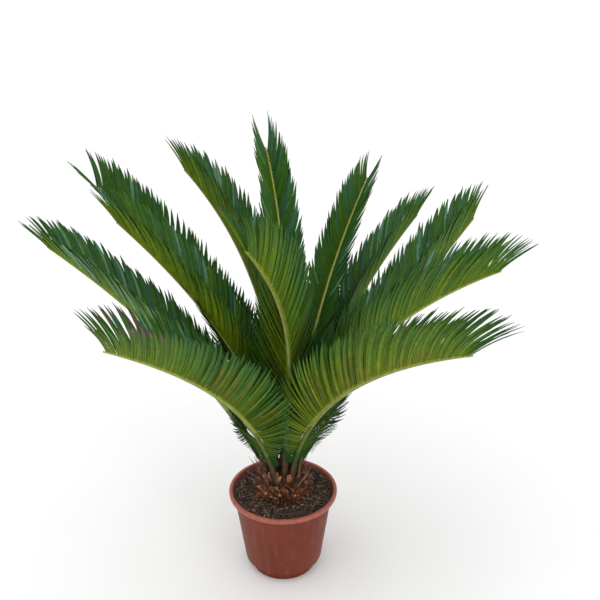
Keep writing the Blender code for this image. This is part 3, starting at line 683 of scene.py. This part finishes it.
# Leaflets: stiff narrow blades with rolled-down edges and a sharp tip, set close together.
# They start as short spines low on the stem; the backs are olive and the faces deep green. A few
# are brown at the tip, and the lower left front frond has a dry patch near its end.

PAIRS = 124
CROWDING = 1.25
FIRST_PAIR = 0.07
LAST_PAIR = 0.992
FULL_AFTER = 0.24
FOOT_LENGTH = 0.18
TIP_SHORTENING = 0.34
TIP_POWER = 6
FORWARD = (78, 39)
FORWARD_POWER = 0.3
SPREAD_AFTER = 0.3
LIFT = (2, 58)
LIFT_AFTER = 0.25
CURL = -24
DROOP = 6
LEAF_THICKNESS = 0.0030
SHINGLE = radians(4)
# Degrees: how much less the first leaflets lean forward, how much more the last ones do, and
# how much less those on the lower stretch are lifted
FOOT_LEAN = 13
TIP_LEAN = 12
FOOT_DROP = 17
# Widths in metres, and the share of its width that a leaflet loses near the frond's tip, or
# on the outer half of a frond whose leaflets are long
WIDEST_LEAF = 0.0092
SLIMMEST_LEAF = 0.0014
WIDTH_PER_LENGTH = 0.080
TIP_NARROWING = 0.44
LONG_LEAF = 0.13
LONG_NARROWING = 0.26
# Shares of a leaflet's length, its width there, and its section: a thin blade folded like a roof
LEAF_AT = np.array((0, 0.035, 0.12, 0.24, 0.37, 0.50, 0.63, 0.76, 0.88, 1.0))
LEAF_SHAPE = np.array((0.85, 0.90, 1.0, 1.0, 1.0, 0.98, 0.92, 0.78, 0.50, 0.05))
LEAF_RING = [(-1, -0.8), (0, 0.05), (1, -0.8), (0, 0.8)]


def ease(x):
    """A smooth step from 0 to 1: 3 x^2 - 2 x^3, with x held between 0 and 1."""
    x = np.clip(x, 0, 1)
    return x * x * (3 - 2 * x)


def leaflets(spec, draw):
    """Every leaflet of one frond, for swept, with its share s of the rib and its side.

    A leaflet leans forward from the rib by 78 - 39 t^0.3 - 24 u degrees and the frond's own
    spread, where t is how far along the leafy stretch it stands and u how far along itself; the
    spines at the foot lean 13 degrees less and the last leaflets 12 more. It is lifted above the
    frond's plane by up to 58 degrees, and 17 less where the short ones at the foot grow into the
    long ones; the path is that direction's running sum."""
    even = (np.arange(PAIRS) + 0.5) / PAIRS
    pitch = np.repeat((LAST_PAIR - FIRST_PAIR) * CROWDING * even ** (CROWDING - 1) / PAIRS, 2)
    s = np.repeat(FIRST_PAIR + (LAST_PAIR - FIRST_PAIR) * even ** CROWDING, 2)
    sign = np.tile([1.0, -1.0], PAIRS)
    s = np.clip(s + pitch * (0.25 * sign + draw.normal(0, 0.06, len(s))), 0, 1)
    place, tangent, side, upper = frond_curve(spec, s)
    t = np.clip((s - FIRST_PAIR) / (1 - FIRST_PAIR), 0, 1)
    growth = FOOT_LENGTH + (1 - FOOT_LENGTH) * ease((s - FIRST_PAIR) / FULL_AFTER)
    length = spec["leaf"] * growth * (1 - TIP_SHORTENING * t ** TIP_POWER)
    length = length * (1 + draw.normal(0, 0.035, len(s)))
    lean = draw.normal(0, 1.1, len(s))
    turn = draw.normal(0, 1.6, len(s))
    curl = draw.normal(0, 2.5, len(s))
    u = (LEAF_AT[1:] + LEAF_AT[:-1]) / 2
    forward = FORWARD[0] + (FORWARD[1] - FORWARD[0]) * t ** FORWARD_POWER + lean
    forward = (forward + FOOT_LEAN * (1 - ease((t - 0.08) / 0.22))
               - TIP_LEAN * ease((t - 0.88) / 0.12))
    forward = np.radians((forward + spec["spread"] * ease(t / SPREAD_AFTER))[:, None] + CURL * u)
    rise = LIFT[0] + (LIFT[1] - LIFT[0]) * ease((s - FIRST_PAIR) / LIFT_AFTER)
    rise = rise - FOOT_DROP * ease((s - 0.08) / 0.08) * (1 - ease((s - 0.26) / 0.20))
    lift = np.radians((rise + turn)[:, None] - (DROOP - curl[:, None]) * u)
    out = ((np.cos(lift) * sign[:, None])[..., None] * side[:, None]
           + np.sin(lift)[..., None] * upper[:, None])
    heading = np.cos(forward)[..., None] * tangent[:, None] + np.sin(forward)[..., None] * out
    stride = heading * (length[:, None] * np.diff(LEAF_AT))[..., None]
    taper = s ** RIB_TAPER_POWER
    edge = (RIB_WIDTH[0] + (RIB_WIDTH[1] - RIB_WIDTH[0]) * taper) / 2 * 0.55
    deep = (RIB_HEIGHT[0] + (RIB_HEIGHT[1] - RIB_HEIGHT[0]) * taper) / 2 * 0.25
    foot = place + side * (sign * edge)[:, None] + upper * deep[:, None]
    paths = foot[:, None] + np.concatenate([0 * foot[:, None], np.cumsum(stride, axis=1)], axis=1)
    heading = np.concatenate([heading[:, :1], heading], axis=1)
    wide = tangent[:, None] - (tangent[:, None] * heading).sum(-1, keepdims=True) * heading
    wide /= np.linalg.norm(wide, axis=-1, keepdims=True)
    thick = sign[:, None, None] * np.cross(wide, heading)
    wide = -sign[:, None, None] * wide
    twist = SHINGLE * sign[:, None, None]
    wide, thick = (wide * np.cos(twist) + thick * np.sin(twist),
                   thick * np.cos(twist) - wide * np.sin(twist))
    crowd = 0.45 + 1.45 * ease((s - 0.09) / 0.24) + 0.9 * ease((s - 0.3) / 0.4)
    room = crowd * pitch * spec["length"] * np.sin(np.maximum(forward[:, 4], 0.35))
    width = np.minimum(np.minimum(room, WIDEST_LEAF), SLIMMEST_LEAF + WIDTH_PER_LENGTH * length)
    width = width * (1 - TIP_NARROWING * ease((s - 0.90) / 0.09))
    if spec["leaf"] > LONG_LEAF:
        width = width * (1 - LONG_NARROWING * ease((s - 0.50) / 0.35))
    shape = np.repeat(LEAF_SHAPE[None, :, None], len(s), axis=0)
    shape[:, :2, 0] *= (0.50 + 0.50 * ease((s - 0.12) / 0.28))[:, None]
    wides = wide * (width / 2)[:, None, None] * shape
    thicks = thick * LEAF_THICKNESS / 2 * np.maximum(shape, 0.35)
    return s, sign, paths, wides, thicks


def leaf_finish(name, colour):
    """A waxy leaf skin: one plain colour, faintly mottled, with a low gloss."""
    made = mottled(name, [tuple(0.88 * c for c in colour), tuple(1.12 * c for c in colour)],
                   0.48, 0.012, 0.00015)
    made.node_tree.nodes["Principled BSDF"].inputs["Specular IOR Level"].default_value = 0.15
    return made


# Greens from the yellow foot of a leaflet to the darkest, then a painted bluish sheen and a painted pale
# highlight, then dry and shaded ones
leaf_finishes = [
    leaf_finish("leaf foot yellow", (0.320, 0.350, 0.026)),
    leaf_finish("leaf light olive", (0.200, 0.262, 0.009)),
    leaf_finish("leaf olive", (0.142, 0.212, 0.007)),
    leaf_finish("leaf green olive", (0.104, 0.184, 0.007)),
    leaf_finish("leaf fresh green", (0.072, 0.160, 0.009)),
    leaf_finish("leaf mid green", (0.048, 0.136, 0.018)),
    leaf_finish("leaf deep green", (0.035, 0.112, 0.020)),
    leaf_finish("leaf dark green", (0.024, 0.083, 0.017)),
    leaf_finish("leaf painted blue sheen", (0.046, 0.140, 0.062)),
    leaf_finish("leaf painted pale highlight", (0.120, 0.260, 0.145)),
    leaf_finish("leaf dry brown", (0.135, 0.100, 0.058)),
    leaf_finish("leaf burnt", (0.085, 0.062, 0.047)),
    leaf_finish("leaf straw", (0.36, 0.27, 0.13)),
    leaf_finish("leaf shaded olive", (0.090, 0.122, 0.008)),
    leaf_finish("leaf rusty olive", (0.160, 0.130, 0.012))]
YELLOW, OLIVE, MID, DARK, BLUE_SHEEN, PALE_HIGHLIGHT, BROWN, BURNT, STRAW = 0, 1, 5, 7, 8, 9, 10, 11, 12
SHADED, RUSTY = 13, 14
# Each frond's own shift of tone, from the first to the thirteenth, where more is darker
FROND_TONE = (0.3, 0.4, 0.1, -0.1, 0.0, 0.0, 0.1, 0.2, 0.6, 0.0, 0.4, -0.2, -0.5)


def leaf_colours(number, s, sign, draw):
    """The finish of every face of a frond's leaflets: quads by station and side, then the ends.

    A leaflet's tone runs from its foot to its tip, from olive to mid green on its back and from
    mid green to dark on its face, with a shift of its own, and one half of each side is painted
    darker as shade between neighbouring leaflets; dry ones are dealt by place."""
    count = len(s)
    u = LEAF_AT[:-1] + np.diff(LEAF_AT) / 2
    own = FROND_TONE[number - 1] + draw.normal(0, 0.62, count)
    back = 1.5 + 2.8 * u[None] + own[:, None]
    face = 3.7 + 1.7 * u[None] + own[:, None] * 0.8
    kind = np.empty((count, len(u), 4), dtype=int)
    # The second quad of each side is painted darker, as the shade that falls between neighbouring leaflets
    kind[:, :, :2] = np.clip(np.round(back[..., None] + (0, 1.6)), OLIVE, DARK)
    kind[:, :, 2:] = np.clip(np.round(face[..., None] + (0, 1.2)), OLIVE, DARK)
    # Painted sheen: the outer faces of some leaflets are coloured bluish, and of a few pale, for the white
    # light that their waxy skin reflects
    painted_sheen = draw.random(count) < (0.45 if number in (6, 7, 10) else 0.25)
    kind[painted_sheen, 2:, 2:] = BLUE_SHEEN
    kind[painted_sheen & (draw.random(count) < (0.45 if number == 7 else 0.20)), 4:, 2:] = PALE_HIGHLIGHT
    kind[:, 0] = np.where(s > 0.14, YELLOW, MID)[:, None]
    kind[s < 0.12, 1:, :2] = MID
    kind[s < 0.12, 1:, 2:] = DARK - 1
    flecked = draw.random(count) < 0.02
    kind[flecked, draw.integers(3, 8), draw.integers(4)] = STRAW
    kind[draw.random(count) < 0.03, -1] = BROWN
    # On the first frond, pale streaks along the backs of the near row are painted highlights where the
    # leaflets' edges catch the light
    if number == 1:
        kind[(s > 0.2) & (sign > 0) & (draw.random(count) < 0.30), 3:8, 0] = PALE_HIGHLIGHT
    if number == 2:
        worn = (s > 0.80) & (s < 0.93) & (draw.random(count) < 0.55)
        kind[worn, 7:] = BROWN
        kind[worn & (draw.random(count) < 0.5), 6] = BROWN
        kind[worn & (draw.random(count) < 0.5), 8:] = BURNT
        kind[(s > 0.982) & (sign > 0), 4:] = BROWN
    if number in (2, 3, 4):
        kind[(s > 0.12) & (s < 0.62) & (draw.random(count) < 0.60), 1:6, 1] = SHADED
        kind[(s > 0.12) & (s < 0.62) & (draw.random(count) < 0.30), 1:5, 0] = SHADED
    if number == 4:
        kind[(s > 0.50) & (s < 0.86) & (draw.random(count) < 0.40), 1:3, 1] = RUSTY
    return np.concatenate([kind.ravel(), kind[:, 0, 0], kind[:, -1, 0]])


for piece_number, numbers in enumerate([(1, 2, 3), (4, 5, 6), (7, 8, 9), (10, 11, 12, 13)]):
    sets = []
    for number in numbers:
        draw = np.random.default_rng(100 + number)
        s, sign, paths, wides, thicks = leaflets(specs[number - 1], draw)
        points, faces = swept(paths, wides, thicks, LEAF_RING)
        sets.append((points, faces, leaf_colours(number, s, sign, draw)))
    blades = joined("leaflets_%d" % (piece_number + 1), sets, leaf_finishes, crease=70)
    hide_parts(*["frond_%02d" % number for number in numbers])
    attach(blades, "root")
